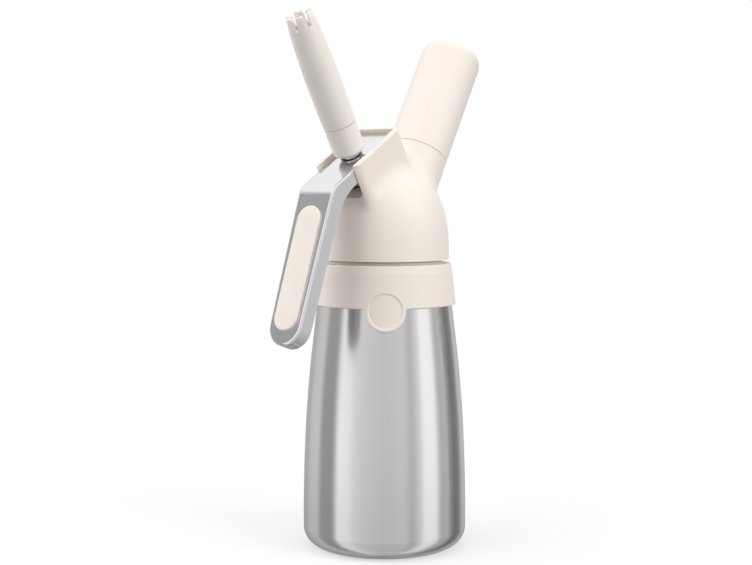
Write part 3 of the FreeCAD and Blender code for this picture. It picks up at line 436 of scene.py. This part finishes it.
# Lever: pressed from 2 mm stainless sheet, folded down along its sides. Its plate and handle are
# polished along their length, which leaves faint lines, and the folded sides are left satin.
POLISH_LINE = 0.0005
polished_steel, tree = new_material("polished stainless steel")
lines = pattern(tree, (60.0, 1 / POLISH_LINE, 60.0), Detail=2.0)
haze = pattern(tree, (70.0, 70.0, 70.0), Detail=2.0)
groove = add(tree, "Bump", {"Height": lines.outputs["Fac"], "Strength": 0.06, "Distance": 0.00001})
place = add(tree, "TexCoord")
facing = add(tree, "SeparateXYZ", {"Vector": place.outputs["Normal"]})
sideways = add(tree, "Math", {0: facing.outputs["Y"]}, operation="ABSOLUTE")
satin = add(tree, "MapRange", {"Value": sideways.outputs["Value"], "From Min": 0.7, "From Max": 0.98,
                               "To Min": 0.0, "To Max": 0.42})
gloss = add(tree, "Math", {0: spread(tree, haze.outputs["Fac"], 0.1, 0.16), 1: satin.outputs["Result"]},
            operation="ADD")
shader = add(tree, "BsdfPrincipled", {
    "Base Color": linear("#DFDEE0"), "Metallic": 1.0, "Roughness": gloss.outputs["Value"],
    "Normal": groove.outputs["Normal"]})
add(tree, "OutputMaterial", {"Surface": shader.outputs["BSDF"]})
dress(polished_steel, "lever")

# Pad: cream silicone stuck in a shallow seat on the handle's front, long with round ends, its
# front softly crowned and bare.
HANDLE_LEAN = math.radians(19.6)
PAD_LENGTH = 0.0628
PAD_WIDTH = 0.0143
PAD_THICKNESS = 0.0021
PAD_EDGE = 0.0007
PAD_CROWN = 0.0002
PAD_PLAY = 0.00005
PAD_SIDES = 96
CROWN_STEPS = 6
CROWN_STEP = 0.14

low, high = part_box("lever_pad")
centre = (Vector(low) + Vector(high)) / 2
down = Vector((-math.sin(HANDLE_LEAN), 0, -math.cos(HANDLE_LEAN)))
out = Vector((-math.cos(HANDLE_LEAN), 0, math.sin(HANDLE_LEAN)))
across = down.cross(out)
shape = bmesh.new()
half = PAD_WIDTH / 2 - PAD_PLAY
bmesh.ops.create_circle(shape, cap_ends=True, segments=PAD_SIDES, radius=half)
straight = PAD_LENGTH / 2 - PAD_WIDTH / 2
for vertex in shape.verts:
    vertex.co.y += math.copysign(straight, vertex.co.y)
    vertex.co.z = -PAD_THICKNESS / 2
lifted = bmesh.ops.extrude_face_region(shape, geom=shape.faces[:])
top = [item for item in lifted["geom"] if isinstance(item, bmesh.types.BMVert)]
bmesh.ops.translate(shape, vec=(0, 0, PAD_THICKNESS - PAD_CROWN), verts=top)
bmesh.ops.recalc_face_normals(shape, faces=shape.faces[:])
rim = [edge for edge in shape.edges if min(v.co.z for v in edge.verts) > 0]
bmesh.ops.bevel(shape, geom=rim, offset=PAD_EDGE, segments=5, profile=0.5, affect="EDGES", material=-1)
crown = [face for face in shape.faces if face.normal.z > 0.99 and len(face.verts) == PAD_SIDES]
for _ in range(CROWN_STEPS):
    bmesh.ops.inset_region(shape, faces=crown, thickness=half * CROWN_STEP, use_even_offset=True)
    raised = list({vertex for face in crown for vertex in face.verts})
    bmesh.ops.translate(shape, vec=(0, 0, PAD_CROWN / CROWN_STEPS), verts=raised)
basis = Matrix((across, down, out)).transposed().to_4x4()
bmesh.ops.transform(shape, matrix=Matrix.Translation(centre) @ basis, verts=shape.verts[:])
pad = from_mesh("handle_pad", shape)
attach(pad, "lever")
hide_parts("lever_pad")
pad.data.materials.append(silicone("pad silicone", "#F3EBE2", "#F1E8DE"))

# Valve and hinge: the stem, the hinge pin and the needle are plain stainless steel, turned from
# bar and left bare, a little darker than the polished lever.


def bare_metal(name, colour, per_metre, detail, low, high):
    """A plain metal whose roughness drifts between two values over its skin."""
    made, tree = new_material(name)
    clouds = pattern(tree, (per_metre,) * 3, Detail=detail)
    shader = add(tree, "BsdfPrincipled", {"Base Color": linear(colour), "Metallic": 1.0,
                                          "Roughness": spread(tree, clouds.outputs["Fac"], low, high)})
    add(tree, "OutputMaterial", {"Surface": shader.outputs["BSDF"]})
    return made


stem_steel = bare_metal("turned stainless steel", "#C9C8CA", 1 / TURNING_PITCH, 1.0, 0.2, 0.3)
dress(stem_steel, "valve_stem", "lever_pin", "piercing_pin")

# Return spring: one coil of drawn steel wire around the stem, between the guide's flange and the
# stem's collar. It stands on the head at one fixed length, though the real spring shortens as
# the lever presses the stem down.
SPRING_FOOT = 0.038
SPRING_TOP = 0.0482
SPRING_RADIUS = 0.0056
SPRING_WIRE = 0.0011
SPRING_TURNS = 4
SPRING_STEPS = 40
WIRE_SIDES = 16
climb = (SPRING_TOP - SPRING_FOOT - SPRING_WIRE) / SPRING_TURNS
slope = math.atan2(climb, 2 * math.pi * SPRING_RADIUS)
shape = bmesh.new()
bmesh.ops.create_circle(shape, segments=WIRE_SIDES, radius=SPRING_WIRE / 2)
wire_end = Matrix.Translation((SPRING_RADIUS, 0, SPRING_FOOT + SPRING_WIRE / 2))
wire_end @= Matrix.Rotation(slope - math.pi / 2, 4, "X")
bmesh.ops.transform(shape, matrix=wire_end, verts=shape.verts[:])
bmesh.ops.spin(shape, geom=shape.verts[:] + shape.edges[:], cent=(0, 0, 0), axis=(0, 0, 1),
               dvec=(0, 0, climb / SPRING_STEPS), angle=2 * math.pi * SPRING_TURNS,
               steps=SPRING_TURNS * SPRING_STEPS, use_merge=False, use_duplicate=False)
ends = [edge for edge in shape.edges if edge.is_boundary]
bmesh.ops.holes_fill(shape, edges=ends, sides=WIRE_SIDES)
bmesh.ops.recalc_face_normals(shape, faces=shape.faces[:])
bmesh.ops.transform(shape, matrix=nozzle_side, verts=shape.verts[:])
spring = from_mesh("return_spring", shape)
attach(spring, "head")
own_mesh(spring)
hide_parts("valve_spring")
spring.data.materials.append(stem_steel)

# Port and guide: brass turned on a lathe and nickel plated, so warm under a bright skin. Both are
# pressed into the head, the port with its thread standing out.
dress(bare_metal("nickel-plated brass", "#D0CBC0", 300.0, 2.0, 0.16, 0.26), "charger_port", "valve_guide")

# Charger: a cartridge drawn from steel and zinc plated, with a dull bluish shine. It stands loose
# in the holder, neck down.
dress(bare_metal("zinc-plated steel", "#C6C9CF", 500.0, 2.0, 0.24, 0.36), "charger")

# Seals: rings, washers and a sleeve moulded in pale nitrile rubber, matt all over. They lie in
# grooves or are clamped between the fittings.
dress(silicone("pale rubber", "#D9D5CB", "#D2CDC2"), "head_gasket", "stem_o_ring", "adapter_o_ring",
      "piercing_seal", "check_valve", "valve_seal")

# Floor: a wide pale sweep that keeps a soft shadow. Further from the bottle it shines more and
# more to the camera, so that it meets the white behind it without a line.
FLOOR_SIZE = 6.0
FLOOR_DROP = 0.0002
SHADOW_REACH = 0.1
WHITE_REACH = 0.6
bpy.ops.mesh.primitive_plane_add(size=FLOOR_SIZE, location=(0, 0, -FLOOR_DROP))
floor = bpy.context.object
floor.name = "studio_floor"
floor.visible_glossy = False
paper, tree = new_material("white paper sweep")
seen = add(tree, "LightPath")
matt = add(tree, "BsdfDiffuse", {"Color": linear("#F4F4F3")})
glow = add(tree, "Emission", {"Color": linear("#FFFFFF"), "Strength": seen.outputs["Is Camera Ray"]})
place = add(tree, "TexCoord")
away = add(tree, "VectorMath", {"Vector": place.outputs["Object"]}, operation="LENGTH")
share = add(tree, "MapRange", {
    "Value": away.outputs["Value"], "From Min": SHADOW_REACH, "From Max": WHITE_REACH,
    "To Min": 0.5, "To Max": 1.0}, interpolation_type="SMOOTHSTEP")
faint = add(tree, "MixShader", {"Fac": share.outputs["Result"], 1: matt.outputs["BSDF"],
                                2: glow.outputs["Emission"]})
add(tree, "OutputMaterial", {"Surface": faint.outputs["Shader"]})
floor.data.materials.append(paper)

# Studio: a round white tent with tall soft boxes, seen by metal as upright light and dark bands.
# The bands' places are turned from the camera's side, in degrees, positive to its right. They are
# dimmer low down, where they stand in the table's shade, and the tent's ceiling is bright.
BANDS = ((-180, 0.5), (-150, 0.55), (-125, 0.8), (-112, 0.85), (-100, 0.46), (-78, 0.44), (-69, 1.36),
         (-55, 1.26), (-40, 1.0), (-25, 0.9), (0, 0.84), (28, 0.9), (40, 0.68), (50, 0.92), (60, 1.4),
         (77, 1.38), (86, 0.72), (92, 0.62), (99, 0.76), (108, 0.4), (118, 0.24), (129, 0.28), (144, 0.72),
         (160, 0.6), (180, 0.5))
BAND_SCALE = 2.0
TABLE_SHADE = 0.77
CEILING_LEVEL = 1.15
EVEN_LEVEL = 0.74
CAMERA_SIDE = 218.5
world = bpy.data.worlds.new("studio tent")
bpy.context.scene.world = world
world.use_nodes = True
tree = world.node_tree
tree.nodes.clear()
facing = add(tree, "TexCoord")
turned = add(tree, "Mapping", {"Vector": facing.outputs["Generated"],
                               "Rotation": (0, 0, math.radians(360 - CAMERA_SIDE))})
parts = add(tree, "SeparateXYZ", {"Vector": turned.outputs["Vector"]})
angle = add(tree, "Math", {0: parts.outputs["Y"], 1: parts.outputs["X"]}, operation="ARCTAN2")
share = add(tree, "MapRange", {"Value": angle.outputs["Value"], "From Min": -math.pi, "From Max": math.pi})
ramp = add(tree, "ValToRGB", {"Fac": share.outputs["Result"]})
ramp.color_ramp.interpolation = "EASE"
stops = ramp.color_ramp.elements
for place, (side, level) in enumerate(BANDS):
    at = (side + 180) / 360
    stop = stops[place] if place < 2 else stops.new(at)
    stop.position = at
    stop.color = [level / BAND_SCALE] * 3 + [1.0]
seen = add(tree, "LightPath")
shade = add(tree, "MapRange", {"Value": parts.outputs["Z"], "From Min": -0.25, "From Max": -0.19,
                               "To Min": BAND_SCALE * TABLE_SHADE, "To Max": BAND_SCALE})
sides = add(tree, "Background", {"Color": ramp.outputs["Color"], "Strength": shade.outputs["Result"]})
ceiling = add(tree, "Background", {"Color": linear("#FFFFFF"), "Strength": CEILING_LEVEL})
height = add(tree, "MapRange", {"Value": parts.outputs["Z"], "From Min": 0.47, "From Max": 0.67})
banded = add(tree, "MixShader", {"Fac": height.outputs["Result"], 1: sides.outputs["Background"],
                                 2: ceiling.outputs["Background"]})
even = add(tree, "Background", {"Color": linear("#FFFFFF"), "Strength": EVEN_LEVEL})
white = add(tree, "Background", {"Color": linear("#FFFFFF"), "Strength": 1.0})
glossy = add(tree, "MixShader", {"Fac": seen.outputs["Is Glossy Ray"], 1: even.outputs["Background"],
                                 2: banded.outputs["Shader"]})
behind = add(tree, "MixShader", {"Fac": seen.outputs["Is Camera Ray"], 1: glossy.outputs["Shader"],
                                 2: white.outputs["Background"]})
add(tree, "OutputWorld", {"Surface": behind.outputs["Shader"]})

LAMP_DISTANCE = 1.4
LAMP_AIM = Vector((0, 0, 0.14))


def soft_box(name, side, elevation, size, power):
    """A square soft box aimed at the bottle, out of sight of shiny pieces."""
    lamp = bpy.data.lights.new(name, "AREA")
    lamp.shape = "SQUARE"
    lamp.size = size
    lamp.energy = power
    made = bpy.data.objects.new(name, lamp)
    bpy.context.scene.collection.objects.link(made)
    turn = math.radians(CAMERA_SIDE + side)
    rise = math.radians(elevation)
    away = Vector((math.cos(turn) * math.cos(rise), math.sin(turn) * math.cos(rise), math.sin(rise)))
    aimed = away.to_track_quat("Z", "Y").to_matrix().to_4x4()
    made.matrix_world = Matrix.Translation(LAMP_AIM + LAMP_DISTANCE * away) @ aimed
    made.visible_glossy = False


soft_box("key_box", 54, 24, 1.0, 9.6)
soft_box("left_box", -58, 34, 1.0, 4.9)
soft_box("rim_box", -104, 10, 1.0, 7.0)
soft_box("top_box", 0, 88, 1.2, 2.5)

# Camera: where the photograph was taken from, worked out from the places of the object's edges in
# it. It stands on the lever's side, level with the head.
CAMERA_PLACE = Vector((-0.56275, -0.44696, 0.18896))
CAMERA_TURN = math.radians(51.19)
CAMERA_PITCH = math.radians(-4.19)
SENSOR_WIDTH = 36.0
LENS = 66.76
view = bpy.data.cameras.new("photo_camera")
view.sensor_width = SENSOR_WIDTH
view.lens = LENS
camera = bpy.data.objects.new("photo_camera", view)
bpy.context.scene.collection.objects.link(camera)
ahead = Vector((math.sin(CAMERA_TURN) * math.cos(CAMERA_PITCH),
                math.cos(CAMERA_TURN) * math.cos(CAMERA_PITCH), math.sin(CAMERA_PITCH)))
aimed = ahead.to_track_quat("-Z", "Y").to_matrix().to_4x4()
camera.matrix_world = Matrix.Translation(CAMERA_PLACE) @ aimed
bpy.context.scene.camera = camera
bpy.context.scene.view_settings.view_transform = "Standard"
